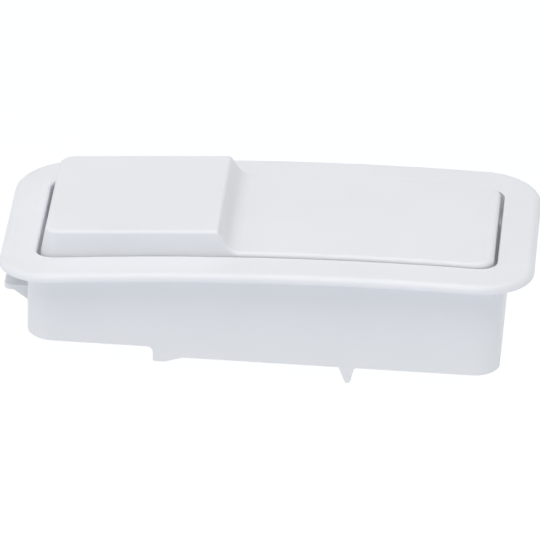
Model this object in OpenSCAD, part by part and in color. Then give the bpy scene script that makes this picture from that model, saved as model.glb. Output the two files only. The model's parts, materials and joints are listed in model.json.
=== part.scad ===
// Push button for a cistern lid: an arched frame that drops into the lid's cut-out, and a push plate
// with a raised finger pad that tilts on a steel pin at its other end. A screw under the pad presses
// the arm of the flush valve.
// X runs along the frame with the pad at -X, Y is the depth, +Z is up. The origin lies on the lid's
// surface in the middle of the frame. Lengths are in millimetres.

/* [Opening] */
// Length of the opening
opening_l = 112; // [108:1:116]
// Width of the opening
opening_w = 46; // [44:0.5:48]
// Radius of the opening's corners
opening_corner_r = 5; // [3:0.5:7]
// Rounding of the opening's upper edge
opening_edge_r = 0.8; // [0.3:0.1:1.2]

/* [Flange] */
// Width of the flange at the ends of the opening
end_margin = 9; // [7:0.5:14]
// Width of the flange at the long sides of the opening
side_margin = 10.5; // [9:0.25:16]
// Thickness of the flange
flange_t = 2; // [1.6:0.1:3]
// Radius of the flange's corners, seen from above
flange_corner_r = 14; // [8:1:20]
// Width of the soft edge round the flange
soft_edge_w = 1.8; // [1:0.2:4]
// Radius of the arch along X, the same as the lid's
arch_r = 920; // [600:10:2000]
// Distance of the arch's highest line from the middle, towards +X
crown_x = 34; // [-40:1:40]

/* [Skirt] */
// Depth of the skirt below the lid's surface
skirt_h = 25.4; // [24:0.2:34]
// Thickness of the skirt's left end wall at the top
left_wall = 2.2; // [1.6:0.1:3]
// Thickness of the skirt's right end wall at the top
right_wall = 2.2; // [1.8:0.1:3]
// Thickness of the skirt's long walls at the top
side_wall = 2.8; // [2:0.1:3.6]
// Taper of the skirt's outer faces in degrees
skirt_draft = 1.05; // [0:0.05:1.5]
// Taper of the skirt's inner faces in degrees
inner_draft = 0.5; // [0:0.1:0.8]
// How much shorter the left end of the skirt is
short_end_h = 2.5; // [0:0.1:4]
// Distance of the tooth from the middle, towards -X
tooth_x = 24.7; // [18:0.2:30]
// How far the tooth stands below the edge
tooth_h = 1.4; // [0.6:0.1:2.4]
// Length of the tooth's tip
tooth_tip = 2.8; // [1:0.2:4]
// Length of the tooth's long flank
tooth_flank = 4.6; // [2:0.2:8]
// Distance of the pegs from the middle, towards +X
peg_x = 21; // [14:0.5:34]
// Length of the pegs below the edge
peg_h = 4.2; // [2:0.2:5]
// Width of the pegs' round tips
peg_tip = 1.5; // [1:0.1:2.4]
// How much wider the pegs get towards the edge on their left side
peg_left_slant = 1.5; // [0:0.1:2]
// How much wider the pegs get towards the edge on their right side
peg_right_slant = 0.6; // [0:0.1:2]

/* [Fixing in the lid] */
// Thickness of the lid that the tab and the hook hold
lid_t = 9; // [7:0.2:10]
// How far the tab reaches under the lid
tab_reach = 6; // [4:0.2:7]
// Width of the tab
tab_w = 30; // [20:1:36]
// Thickness of the tab at its free edge
tab_t = 1.4; // [1:0.1:2]
// Width of the snap tongue in the right end wall
tongue_w = 15; // [12:1:22]
// Width of the slots beside the tongue
tongue_slot = 1.2; // [0.8:0.1:2]
// How far the tongue's hook reaches under the lid
hook_reach = 1.5; // [1:0.1:2.4]

/* [Push plate] */
// Gap between the plate and the opening's long sides
side_gap = 0.3; // [0.2:0.05:0.6]
// Gap at the pad's end
left_gap = 0.7; // [0.6:0.05:1.2]
// Gap at the hinge's end
right_gap = 1.1; // [0.8:0.05:1.5]
// How far the plate stands above the flange
plate_proud = 0.95; // [0.5:0.05:1.5]
// Thickness of the plate and of the pad's top
skin_t = 2; // [1.6:0.1:2.6]
// Depth of the plate's rim, from its top
rim_h = 4.5; // [3.5:0.1:5.5]
// Thickness of the rim
rim_t = 1.8; // [1.4:0.1:2.2]
// Radius of the plate's corners
plate_corner_r = 4; // [3:0.5:6]
// Rounding of the plate's upper edge
plate_edge_r = 1; // [0.4:0.1:1.4]
// Thickness of the ribs under the plate
rib_t = 1.6; // [1:0.1:2]

/* [Finger pad] */
// Height of the pad above the flange
pad_h = 6.1; // [4:0.1:8]
// Length of the pad's top, from the plate's left edge
pad_l = 43.3; // [40:0.5:52]
// Tilt of the pad's top in degrees
pad_tilt = 4.3; // [2:0.1:6]
// Steepness of the pad's right face in degrees
pad_slope = 57; // [45:1:70]
// Radius of the hollow at the foot of that face
pad_foot_r = 4.5; // [2:0.5:7]
// Taper of the pad's front and back faces in degrees
pad_draft = 7.6; // [3:0.2:9]
// Taper of the pad's left face in degrees
pad_left_draft = 13.2; // [6:0.2:16]
// Rounding of the pad's upper edges
pad_edge_r = 0.8; // [0.4:0.1:1.2]

/* [Hinge] */
// Diameter of the hinge pin
pin_d = 2; // [1.6:0.1:2.2]
// Distance from the opening's right end to the pin's middle
pin_setback = 2.2; // [2.1:0.1:3]
// Depth of the pin's middle below the lid's surface
pin_drop = 3.4; // [3:0.1:4.4]
// Width of the knuckle that turns on the pin
knuckle_w = 25; // [16:1:32]
// Wall of the knuckle round the pin
knuckle_wall = 0.75; // [0.6:0.05:0.9]
// Running clearance between the pin and the knuckle, on the radius
pin_play = 0.05; // [0.02:0.01:0.08]
// Length of the housing's bearings for the pin
bearing_l = 2.5; // [2:0.1:4]
// How far the plate tilts when it is pressed, in degrees
press_angle = 4; // [3:0.1:4.4]

/* [Return springs] */
// Outer diameter of the springs
spring_d = 9; // [8:0.2:10]
// Diameter of the spring wire
spring_wire = 0.8; // [0.6:0.05:1]
// Number of turns
spring_turns = 7; // [5:0.5:8]
// Distance of the springs' middle from the opening's left end
spring_setback = 18; // [12:0.5:20]
// Gap between the springs and the opening's long sides
spring_side_gap = 3.5; // [3.1:0.1:5.5]
// Depth of the shelves below the lid's surface
shelf_drop = 18; // [17:0.2:19]
// Thickness of the shelves
shelf_t = 2; // [1.6:0.1:2.4]

/* [Adjusting screw] */
// Distance of the screw's middle from the opening's left end
screw_setback = 25; // [22:0.5:28]
// Diameter of the screw
screw_d = 8; // [6:0.5:8]
// Length of the screw under its head
screw_l = 18; // [14:0.5:20]
// Distance across the flats of the screw's head and of the nut
flats = 12; // [11:0.5:13]
// Height of the screw's head
head_h = 4; // [3:0.5:5]
// Height of the lock nut
nut_h = 4.5; // [3:0.5:6]
// Depth of the screw's boss below the lid's surface
boss_drop = 6; // [5:0.2:8]
// Diameter of the soft foot
foot_d = 12; // [9:0.5:13]
// Thickness of the soft foot
foot_t = 2.5; // [1.5:0.1:4]

/* [Hidden] */
$fn = 48;

white = [0.93, 0.94, 0.96];
natural = [0.87, 0.86, 0.80];
steel = [0.75, 0.76, 0.78];
rubber = [0.16, 0.16, 0.17];

// Numbers of steps along the long sides, round the corners and round the soft edges
side_steps = 12;
corner_steps = 8;
edge_steps = 5;

// Outline of the opening, the skirt and the push plate, as ends along X and a width
open_x = opening_l / 2;
flange_l = opening_l + 2 * end_margin;
flange_w = opening_w + 2 * side_margin;
skirt_left = open_x + left_wall;
skirt_right = open_x + right_wall;
skirt_w = opening_w + 2 * side_wall;
skirt_corner_r = opening_corner_r + (left_wall + right_wall) / 2;
plate_x0 = left_gap - open_x;
plate_x1 = open_x - right_gap;
plate_w = opening_w - 2 * side_gap;

// Depth to which the walls run before their lower edge is cut, and the narrowing down to there
skirt_cut_h = skirt_h + peg_h + 1;
outer_draft_in = skirt_cut_h * tan(skirt_draft);
inner_draft_in = skirt_cut_h * tan(inner_draft);

// Height of the arch above the origin's level at a place along X
function arch(x) = sqrt(arch_r ^ 2 - (x - crown_x) ^ 2) - sqrt(arch_r ^ 2 - crown_x ^ 2);
// Steepness of the arch at a place along X, in degrees
function arch_tilt(x) = -asin((x - crown_x) / arch_r);
// Height of the flange's and the plate's upper faces
function flange_top(x) = flange_t + arch(x);
function plate_top(x) = flange_top(x) + plate_proud;

// Points along an arc, from angle a0 to a1
function arc_points(c, r, a0, a1, n) = [for (i = [0:n]) c + r * [cos(a0 + (a1 - a0) * i / n),
                                                                sin(a0 + (a1 - a0) * i / n)]];
// Points along the arch from x0 to x1, raised by z
function arch_points(x0, x1, z) = [for (i = [0:side_steps]) let (x = x0 + (x1 - x0) * i / side_steps)
                                   [x, z + arch(x)]];
// Front half of a rounded rectangle from its left end to its right end, and the whole outline
function half_outline(x0, x1, w, r) = concat(
    arc_points([x0 + r, r - w / 2], r, 180, 270, corner_steps),
    [for (i = [1:side_steps - 1]) [x0 + r + (x1 - x0 - 2 * r) * i / side_steps, -w / 2]],
    arc_points([x1 - r, r - w / 2], r, 270, 360, corner_steps));
function outline(x0, x1, w, r) = let (front = half_outline(x0, x1, w, r))
    concat(front, [for (i = [len(front) - 1:-1:0]) [front[i][0], -front[i][1]]]);
// An outline at height z, which follows the arch where bend is 1 and is level where it is 0
function ring(x0, x1, w, r, z, bend = 1) =
    [for (p = outline(x0, x1, w, r)) [p[0], p[1], z + bend * arch(p[0])]];

// Solid whose skin runs through rings of equally many points. The last ring joins the first where
// closed is true, and otherwise the first and last rings are covered by strips from front to back.
module skin(rings, closed) {
    n = len(rings[0]);
    count = len(rings);
    last = closed ? count - 1 : count - 2;
    sides = [for (k = [0:last], i = [0:n - 1])
        let (a = k * n + i, b = k * n + (i + 1) % n, up = ((k + 1) % count - k) * n)
        each [[a, a + up, b + up], [a, b + up, b]]];
    half = n / 2;
    strips = closed ? [] : [for (i = [0:half - 2])
        let (a = i, b = i + 1, c = n - 2 - i, d = n - 1 - i, up = (count - 1) * n)
        each [[a, b, c], [a, c, d], [a + up, c + up, b + up], [a + up, d + up, c + up]]];
    polyhedron(points = [for (r = rings) each r], faces = concat(sides, strips), convexity = 8);
}

// Extrudes a side view, drawn in X and Z, over a width along Y
module across(w) {
    translate([0, w / 2, 0]) rotate([90, 0, 0]) linear_extrude(w) children();
}

// Upright block with a rounded outline
module rounded_block(x0, x1, w, r, z0, z1) {
    translate([0, 0, z0]) linear_extrude(z1 - z0) polygon(outline(x0, x1, w, r));
}

// Flange and skirt

// Height at which the flange's straight outer edge ends and its soft edge begins
soft_edge_z = 0.3;
// Rounding between the skirt and the flange
root_r = 0.6;

function soft_edge_ring(a) = let (inset = soft_edge_w * (1 - cos(a)))
    ring(inset - flange_l / 2, flange_l / 2 - inset, flange_w - 2 * inset, flange_corner_r - inset,
         soft_edge_z + (flange_t - soft_edge_z) * sin(a));
function opening_ring(inset, z, bend = 1) =
    ring(-open_x - inset, open_x + inset, opening_w + 2 * inset, opening_corner_r + inset, z, bend);
function skirt_ring(inset, z, bend = 1) =
    ring(inset - skirt_left, skirt_right - inset, skirt_w - 2 * inset, skirt_corner_r - inset, z, bend);

module flange_and_walls() {
    under = 0.3;
    skin(concat(
        [skirt_ring(outer_draft_in, -skirt_cut_h, 0), skirt_ring(0, -root_r), skirt_ring(-root_r, 0)],
        [ring(under - flange_l / 2, flange_l / 2 - under, flange_w - 2 * under, flange_corner_r - under, 0)],
        [for (i = [0:edge_steps]) soft_edge_ring(90 * i / edge_steps)],
        [for (i = [0:3]) let (a = 30 * i) opening_ring(opening_edge_r * (1 - sin(a)),
                                                     flange_t - opening_edge_r * (1 - cos(a)))],
        [opening_ring(inner_draft_in, -skirt_cut_h, 0)]), true);
}

// Side view of everything above the skirt's lower edge: the short left end, the tooth and the peg
module above_lower_edge() {
    far = flange_l;
    step_r = 1.5;
    tip_r = 0.6;
    root_r = 0.9;
    tooth_left = -tooth_x - tooth_tip / 2;
    tooth_low = -skirt_h - tooth_h;
    peg_low = -skirt_h - peg_h;
    peg_tip_r = peg_tip / 2;
    polygon(concat(
        [[-far, far], [-far, short_end_h - skirt_h]],
        arc_points([tooth_left - step_r, short_end_h - skirt_h - step_r], step_r, 90, 0, 4),
        arc_points([tooth_left + tip_r, tooth_low + tip_r], tip_r, 180, 270, 3),
        [[tooth_left + tooth_tip, tooth_low], [tooth_left + tooth_tip + tooth_flank, -skirt_h]],
        [[peg_x - peg_tip_r - peg_left_slant, -skirt_h]],
        arc_points([peg_x, peg_low + peg_tip_r], peg_tip_r, 200, 350, 6),
        arc_points([peg_x + peg_tip_r + peg_right_slant + root_r, -skirt_h - root_r], root_r, 175, 90, 3),
        [[far, -skirt_h], [far, far]]));
}

// Fixed tab at the left end, which goes under the lid, with its ribs

// How far the skirt's end walls have tapered in where the lid ends
skirt_taper_in = lid_t * tan(skirt_draft);
tab_top = arch(-skirt_left - tab_reach / 2) - lid_t;
// Size of the fillets where the tab and the hook leave the skirt
root_fillet = 0.6;

// Side view of such a fillet on a level face at height z, beside a wall at x that lies towards s
module fillet_side(x, z, s) {
    polygon(concat([[x + s, z - root_fillet], [x + s, z + root_fillet]],
                   arc_points([x - s * root_fillet, z + root_fillet], root_fillet, 270 + s * 90, 270, 4),
                   [[x - s * root_fillet, z - root_fillet]]));
}

module tab() {
    root_t = tab_t + 0.6;
    root_x = 1 - skirt_left;
    tip_x = -skirt_left - tab_reach;
    tip_r = 2.5;
    rib_drop = 3.6;
    intersection() {
        across(tab_w) polygon([[root_x, tab_top], [tip_x, tab_top], [tip_x, tab_top - tab_t],
                               [root_x, tab_top - root_t]]);
        rounded_block(tip_x, root_x + tip_r, tab_w, tip_r, tab_top - lid_t, tab_top + 1);
    }
    across(tab_w) fillet_side(skirt_taper_in - skirt_left, tab_top, 1);
    for (y = [-1, 0, 1] * (tab_w / 2 - 1.8))
        translate([0, y, 0]) across(rib_t)
            polygon([[root_x, tab_top - tab_t], [tip_x + tip_r, tab_top - tab_t],
                     [0.3 - skirt_left, tab_top - rib_drop], [root_x, tab_top - rib_drop - 0.4]]);
}

// Snap tongue in the right end wall, freed by two slots, with the hook that springs under the lid

hook_top = arch(skirt_right) - lid_t;
tongue_root_z = -5;

module tongue_slots() {
    for (s = [-1, 1])
        translate([open_x - 1, s * (tongue_w + tongue_slot) / 2 - tongue_slot / 2, -skirt_cut_h])
            cube([right_wall + 3, tongue_slot, skirt_cut_h + tongue_root_z]);
}

module hook() {
    hook_w = tongue_w - 5;
    hook_h = 3.6;
    across(hook_w) polygon([[skirt_right - 1, hook_top], [skirt_right + hook_reach, hook_top],
                            [skirt_right + hook_reach, hook_top - 0.8],
                            [skirt_right - 1, hook_top - hook_h]]);
    across(hook_w) fillet_side(skirt_right - skirt_taper_in, hook_top, -1);
}

// Hinge

pin_x = open_x - pin_setback;
pin_r = pin_d / 2;
bearing_r = pin_r + 1.4;
// Inner faces of the bearings, measured from the middle line, and the blind end of the front one
bearing_y = opening_w / 2 - bearing_l;
pin_front_y = -opening_w / 2 - side_wall + 1.2;
pin_back_y = opening_w / 2 + side_wall - pin_drop * tan(skirt_draft) - 0.2;

module along_y(r, y0, y1, x, z) {
    translate([x, y1, z]) rotate([90, 0, 0]) cylinder(r = r, h = y1 - y0);
}

module bearings() {
    for (s = [-1, 1])
        along_y(bearing_r, min(s * bearing_y, s * (opening_w / 2 + 1)),
                max(s * bearing_y, s * (opening_w / 2 + 1)), pin_x, -pin_drop);
}

// Return springs, and the shelves and posts that hold them

spring_x = open_x - spring_setback;
spring_y = opening_w / 2 - spring_side_gap - spring_d / 2;
spring_r = (spring_d - spring_wire) / 2;
post_r = spring_d / 2 - spring_wire - 0.5;
peg_up = 2;
shelf_x = spring_d + 2;
shelf_y = spring_y - spring_d / 2 - 0.7;
// Height of the pad's underside above the springs
pad_mid_x = plate_x0 + pad_l / 2;
function pad_top(x) = flange_top(pad_mid_x) + pad_h + (x - pad_mid_x) * tan(pad_tilt);
seat_z = pad_top(-spring_x) - skin_t - 1.4;
// How far a point of the plate sinks when the plate is pressed
function travel(x) = (pin_x - x) * sin(press_angle);
stop_gap = 0.15;
post_end_z = peg_up - shelf_drop + travel(-spring_x - post_r) + stop_gap;

module shelves() {
    wall_y = opening_w / 2 + 1;
    web_h = 2.6;
    for (s = [-1, 1]) {
        translate([-spring_x - shelf_x / 2, s > 0 ? shelf_y : -wall_y, -shelf_drop - shelf_t])
            cube([shelf_x, wall_y - shelf_y, shelf_t]);
        for (e = [-1, 1]) translate([e * (shelf_x - rib_t) / 2 - spring_x, 0, -shelf_drop - shelf_t])
            rotate([90, 0, 90]) translate([0, 0, -rib_t / 2]) linear_extrude(rib_t)
                polygon([[s * wall_y, 0.5], [s * shelf_y, 0.5], [s * shelf_y, 0], [s * wall_y, -web_h]]);
        translate([-spring_x, s * spring_y, -shelf_drop - 0.5]) cylinder(r = post_r, h = peg_up + 0.5);
    }
}

// Ledge inside the left end wall, under which the plate's legs catch

ledge_reach = 1.1;
ledge_z = -15;
ledge_h = 1.6;
leg_w = 6;
leg_y = 12;

module ledge() {
    across(2 * leg_y + leg_w + 3)
        polygon([[-open_x - 1, ledge_z], [ledge_reach - open_x, ledge_z],
                 [ledge_reach - open_x, ledge_z + ledge_h - 0.6], [-open_x - 1, ledge_z + ledge_h + 1]]);
}

module frame_housing() {
    color(white) difference() {
        union() {
            intersection() {
                flange_and_walls();
                across(2 * flange_w) above_lower_edge();
            }
            tab();
            hook();
            bearings();
            shelves();
            ledge();
        }
        tongue_slots();
        along_y(pin_r, pin_front_y, opening_w, pin_x, -pin_drop);
    }
}

// Push plate with its pad

plate_rim_z = flange_t + plate_proud - rim_h;

module plate_shell() {
    edge_z = flange_t + plate_proud - plate_edge_r;
    skin(concat(
        [ring(plate_x0, plate_x1, plate_w, plate_corner_r, plate_rim_z)],
        [for (i = [0:edge_steps]) let (a = 90 * i / edge_steps, inset = plate_edge_r * (1 - cos(a)))
            ring(plate_x0 + inset, plate_x1 - inset, plate_w - 2 * inset, plate_corner_r - inset,
                 edge_z + plate_edge_r * sin(a))]), false);
}

// Pad with its rounded upper edges and tapered faces, longer than the pad at the right
module pad_block() {
    top_in = (pad_h - pad_edge_r) * tan(pad_draft);
    left_in = (pad_h - pad_edge_r) * tan(pad_left_draft);
    length = pad_l + 16;
    translate([pad_mid_x, 0, flange_top(pad_mid_x)]) rotate([0, -pad_tilt, 0])
        translate([plate_x0 - pad_mid_x, 0, 0]) hull() {
            for (s = [-1, 1]) {
                base_y = s * (plate_w / 2 - plate_corner_r);
                translate([plate_corner_r, base_y, 0]) cylinder(r = plate_corner_r, h = 0.1, $fn = 32);
                translate([length, s * (plate_w / 2 - 0.5), 0]) cylinder(r = 0.5, h = 0.1, $fn = 16);
                translate([plate_corner_r + left_in - top_in, base_y, pad_h - pad_edge_r])
                    rotate_extrude($fn = 32) rounded_disc(plate_corner_r - top_in);
                translate([length, s * (plate_w / 2 - top_in - pad_edge_r), pad_h - pad_edge_r])
                    sphere(r = pad_edge_r, $fn = 24);
            }
        }
}

// Half section of a disc with a rounded upper edge
module rounded_disc(r) {
    polygon(concat([[0, 0]], arc_points([r - pad_edge_r, 0], pad_edge_r, 0, 90, 4), [[0, pad_edge_r]]));
}

// Side view of the pad: the steep right face and the hollow at its foot, all moved inwards by t
function pad_side(t) =
    let (u1 = [cos(pad_slope), -sin(pad_slope)], n1 = [sin(pad_slope), cos(pad_slope)],
         edge_x = plate_x0 + pad_l,
         s = [edge_x, pad_top(edge_x)] - t * n1,
         tilt = arch_tilt(edge_x + 6), u2 = [cos(tilt), sin(tilt)], n2 = [-sin(tilt), cos(tilt)],
         q = [edge_x + 6, plate_top(edge_x + 6) - 0.02] - t * n2,
         d = ((q - s) * n2) / (u1 * n2), meet = s + d * u1,
         r = pad_foot_r + t, reach = r * tan((pad_slope + tilt) / 2),
         centre = meet + reach * u2 + r * n2)
    concat([s - 20 * u1], arc_points(centre, r, 180 + 90 - pad_slope, 270 + tilt, 6));

module pad() {
    foot = pad_side(0);
    intersection() {
        pad_block();
        across(2 * plate_w) polygon(concat(
            [[plate_x0 - 5, plate_rim_z - 5], [plate_x0 - 5, 30]], foot,
            [[foot[len(foot) - 1][0], plate_rim_z - 5]]));
    }
}

// Hollow under the plate and under the pad
module cap_hollow() {
    x0 = plate_x0 + rim_t;
    x1 = plate_x1 - rim_t;
    low = -40;
    corner = max(plate_corner_r - rim_t, 0.5);
    intersection() {
        rounded_block(x0, x1, plate_w - 2 * rim_t, corner, low, 30);
        across(2 * plate_w) polygon(concat(arch_points(x0 - 1, x1 + 1, flange_t + plate_proud - skin_t),
                                           [[x1 + 1, low], [x0 - 1, low]]));
    }
    inner = pad_side(skin_t);
    end = inner[len(inner) - 1];
    corner_x = plate_x0 + pad_l - skin_t * tan(pad_slope / 2);
    side_in = rim_t + pad_h * tan(pad_draft);
    left_in = rim_t + pad_h * tan(pad_left_draft);
    intersection() {
        rounded_block(plate_x0 + left_in, 40, plate_w - 2 * side_in, 1.5, low, 30);
        across(2 * plate_w) polygon(concat(
            [[x0, low], [x0, pad_top(x0) - skin_t]],
            [[corner_x, pad_top(corner_x) - skin_t]],
            [for (i = [1:len(inner) - 1]) inner[i]],
            [[end[0], low]]));
    }
}

// Ribs, posts, boss, legs and knuckle under the plate
module cap_inside() {
    rib_y = 10.5;
    rib_z = -pin_drop - 1.2;
    rib_x0 = plate_x0 + pad_l - 6;
    // Two long ribs that tie the knuckle to the pad
    for (s = [-1, 1]) translate([0, s * rib_y, 0]) across(rib_t)
        polygon(concat(arch_points(rib_x0, pin_x, flange_t + plate_proud - skin_t + 0.5),
                       [[pin_x, rib_z], [rib_x0, rib_z]]));
    // Cross ribs between them and the rim
    for (x = [2, 18, 34]) translate([x - rib_t / 2, -plate_w / 2 + 1, arch(x) + plate_rim_z + 0.6])
        cube([rib_t, plate_w - 2, rim_h - skin_t]);
    // Cross of ribs round the screw's boss, under the pad
    pad_rib_z = -2;
    translate([-screw_x - rib_t / 2, -plate_w / 2 + 2, pad_rib_z])
        cube([rib_t, plate_w - 4, pad_top(-screw_x) - skin_t / 2 - pad_rib_z]);
    across(rib_t) polygon([[plate_x0 + 1, pad_rib_z], [plate_x0 + 1, pad_top(plate_x0 + 4) - skin_t / 2],
                           [rib_x0, pad_top(rib_x0) - skin_t / 2], [rib_x0, pad_rib_z]]);
    translate([-screw_x, 0, -boss_drop])
        cylinder(r = screw_d / 2 + 2.5, h = boss_drop + pad_top(-screw_x) - skin_t / 2);
    // Seats and posts for the springs
    for (s = [-1, 1]) translate([-spring_x, s * spring_y, 0]) {
        translate([0, 0, seat_z]) cylinder(r = spring_d / 2 + 0.6, h = pad_top(-spring_x) - skin_t / 2 - seat_z);
        translate([0, 0, post_end_z]) cylinder(r = post_r, h = seat_z - post_end_z + 0.5);
    }
    // Legs that catch under the ledge
    for (s = [-1, 1]) translate([0, s * leg_y, 0]) across(leg_w) leg_side();
    // Knuckle and the web that carries it
    along_y(pin_r + pin_play + knuckle_wall, -knuckle_w / 2, knuckle_w / 2, pin_x, -pin_drop);
    across(knuckle_w) polygon([[pin_x - 4.5, arch(pin_x) + 0.5], [pin_x + 0.4, arch(pin_x) + 0.5 + skin_t],
                               [pin_x + 0.9, arch(pin_x) + 1], [pin_x + 0.9, -pin_drop],
                               [pin_x - 1.2, -pin_drop - 0.8]]);
}

module leg_side() {
    outer = ledge_reach + 0.3 - open_x;
    inner = outer + 1.6;
    catch_z = ledge_z - 0.1;
    polygon([[inner, plate_rim_z], [inner, catch_z - 2.4], [outer, catch_z - 2.4],
             [outer - 0.9, catch_z - 0.9], [outer - 0.9, catch_z], [outer, catch_z], [outer, plate_rim_z - 1]]);
}

// Room that the bearings need, at both ends of the pin, and the open right end of the rim
module cap_notches() {
    low = -40;
    room = pin_x - bearing_r - 1;
    for (s = [-1, 1]) translate([room, s * (knuckle_w / 2 + 5) - 5, low])
        cube([20, 10, arch(room) + flange_t + plate_proud - skin_t - low]);
}

module button_cap() {
    color(white) difference() {
        union() {
            difference() {
                union() {
                    plate_shell();
                    pad();
                }
                cap_hollow();
            }
            cap_inside();
        }
        cap_notches();
        along_y(pin_r + pin_play, -knuckle_w, knuckle_w, pin_x, -pin_drop);
        translate([-screw_x, 0, -boss_drop - 1]) cylinder(r = screw_d / 2, h = screw_room + 1);
    }
}

module hinge_pin() {
    color(steel) along_y(pin_r, pin_front_y, pin_back_y, pin_x, -pin_drop);
}

// A spring coiled round Z with closed ends, as a wire swept along its own helix
module coil(r, wire, z0, z1, turns) {
    per_turn = 18;
    wire_sides = 6;
    steps = turns * per_turn;
    // The first and last turn lie almost flat, the others share the rest of the height
    function rise(t) = let (flat = wire * 1.05, free = z1 - z0 - wire - 2 * flat)
        t < 1 ? flat * t : t > turns - 1 ? free + flat * (t - turns + 2) : flat + free * (t - 1) / (turns - 2);
    rings = [for (i = [0:steps]) let (a = 360 * i / per_turn, z = z0 + wire / 2 + rise(i / per_turn))
        [for (j = [0:wire_sides - 1]) let (b = 360 * j / wire_sides, d = r + wire / 2 * cos(b))
            [d * cos(a), d * sin(a), z + wire / 2 * sin(b)]]];
    sides = [for (i = [0:steps - 1], j = [0:wire_sides - 1])
        let (a = i * wire_sides + j, b = i * wire_sides + (j + 1) % wire_sides)
        each [[a, b, b + wire_sides], [a, b + wire_sides, a + wire_sides]]];
    ends = [[for (j = [wire_sides - 1:-1:0]) j], [for (j = [0:wire_sides - 1]) steps * wire_sides + j]];
    polyhedron(points = [for (k = rings) each k], faces = concat(sides, ends), convexity = 10);
}

module return_spring(s) {
    color(steel) translate([-spring_x, s * spring_y, 0])
        coil(spring_r, spring_wire, 0.02 - shelf_drop, seat_z - stop_gap, spring_turns);
}

module return_spring_front() {
    return_spring(-1);
}

module return_spring_back() {
    return_spring(1);
}

// Adjusting screw with its head down, the lock nut against the boss and the foot on the head

screw_x = open_x - screw_setback;
screw_room = boss_drop + 2;
head_z = -boss_drop - nut_h - 7;
flats_r = flats / sqrt(3);
foot_stem_r = 1.6;

module adjusting_screw() {
    color(natural) translate([-screw_x, 0, head_z]) difference() {
        union() {
            cylinder(r = screw_d / 2, h = screw_l);
            translate([0, 0, -head_h]) cylinder(r = flats_r, h = head_h, $fn = 6);
        }
        translate([0, 0, -head_h - 1]) cylinder(r = foot_stem_r, h = head_h);
    }
}

module lock_nut() {
    color(natural) translate([-screw_x, 0, -boss_drop - nut_h]) difference() {
        cylinder(r = flats_r, h = nut_h, $fn = 6);
        translate([0, 0, -1]) cylinder(r = screw_d / 2, h = nut_h + 2);
    }
}

module push_foot() {
    color(rubber) translate([-screw_x, 0, head_z - head_h - foot_t]) rotate_extrude()
        polygon([[0, 0], [foot_d / 2 - 0.8, 0], [foot_d / 2, 0.8], [foot_d / 2, foot_t],
                 [foot_stem_r, foot_t], [foot_stem_r, foot_t + head_h - 1.2], [0, foot_t + head_h - 1.2]]);
}

frame_housing();
button_cap();
hinge_pin();
return_spring_front();
return_spring_back();
adjusting_screw();
lock_nut();
push_foot();
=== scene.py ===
"""Cistern push button: an arched white frame that drops into a cistern's lid, and a push plate with a
raised finger pad that tilts on a steel pin. Lengths are in metres, and the places are the frame's."""

import json
import math

import bmesh
import bpy
from bpy.props import FloatProperty, FloatVectorProperty, IntProperty, PointerProperty
from mathutils import Matrix, Vector

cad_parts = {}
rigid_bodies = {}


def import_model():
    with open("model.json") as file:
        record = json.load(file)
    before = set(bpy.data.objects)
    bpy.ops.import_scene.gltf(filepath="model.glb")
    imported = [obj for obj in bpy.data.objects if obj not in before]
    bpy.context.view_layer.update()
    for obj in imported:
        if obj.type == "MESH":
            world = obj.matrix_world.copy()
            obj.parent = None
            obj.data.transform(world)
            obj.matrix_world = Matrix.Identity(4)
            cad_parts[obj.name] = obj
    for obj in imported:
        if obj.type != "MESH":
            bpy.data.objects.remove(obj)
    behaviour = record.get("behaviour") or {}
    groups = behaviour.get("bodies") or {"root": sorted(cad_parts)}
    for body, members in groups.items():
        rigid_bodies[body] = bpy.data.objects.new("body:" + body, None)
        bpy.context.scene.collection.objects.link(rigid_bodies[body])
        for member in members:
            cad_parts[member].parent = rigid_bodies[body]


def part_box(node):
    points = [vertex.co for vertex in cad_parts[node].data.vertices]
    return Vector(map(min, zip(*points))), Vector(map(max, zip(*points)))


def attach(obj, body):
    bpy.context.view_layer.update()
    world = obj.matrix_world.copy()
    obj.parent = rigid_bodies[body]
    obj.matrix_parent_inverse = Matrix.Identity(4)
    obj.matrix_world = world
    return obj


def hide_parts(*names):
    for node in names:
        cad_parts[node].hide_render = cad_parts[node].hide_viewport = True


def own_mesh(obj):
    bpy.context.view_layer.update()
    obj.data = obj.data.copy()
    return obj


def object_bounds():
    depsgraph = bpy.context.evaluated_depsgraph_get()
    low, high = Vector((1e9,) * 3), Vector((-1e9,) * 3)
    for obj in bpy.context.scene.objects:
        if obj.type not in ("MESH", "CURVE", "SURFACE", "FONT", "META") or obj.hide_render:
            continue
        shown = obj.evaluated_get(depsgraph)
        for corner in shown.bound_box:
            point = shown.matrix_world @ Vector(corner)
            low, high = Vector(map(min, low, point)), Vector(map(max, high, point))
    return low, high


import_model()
CAD_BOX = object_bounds()
PIN_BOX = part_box("hinge_pin")
SPRING_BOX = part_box("return_spring_back")
SCREW_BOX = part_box("adjusting_screw")
NUT_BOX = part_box("lock_nut")
FOOT_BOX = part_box("push_foot")

bl_info = {
    "name": "Cistern push button",
    "version": (1, 0, 0),
    "blender": (4, 5, 0),
    "location": "3D View > Sidebar > Push button",
    "description": "Makes a tilting push button for a cistern's lid, with its hinge, springs and screw",
    "category": "Add Mesh",
}

MM = 0.001
FULL_TURN = 2 * math.pi
# Degrees between two faces past which their edge stays sharp
MOULDED_EDGE = 35
ROUND_EDGE = 50


# Properties

def length(name, description, default):
    """A length that is set in millimetres."""
    return FloatProperty(name=name, description=description, default=default * MM, min=0, unit="LENGTH",
                         precision=4)


def offset(name, description, default):
    """A distance in millimetres that may be negative."""
    return FloatProperty(name=name, description=description, default=default * MM, unit="LENGTH", precision=4)


def angle(name, description, default):
    """An angle that is set in degrees."""
    return FloatProperty(name=name, description=description, default=math.radians(default),
                         unit="ROTATION", subtype="ANGLE")


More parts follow.
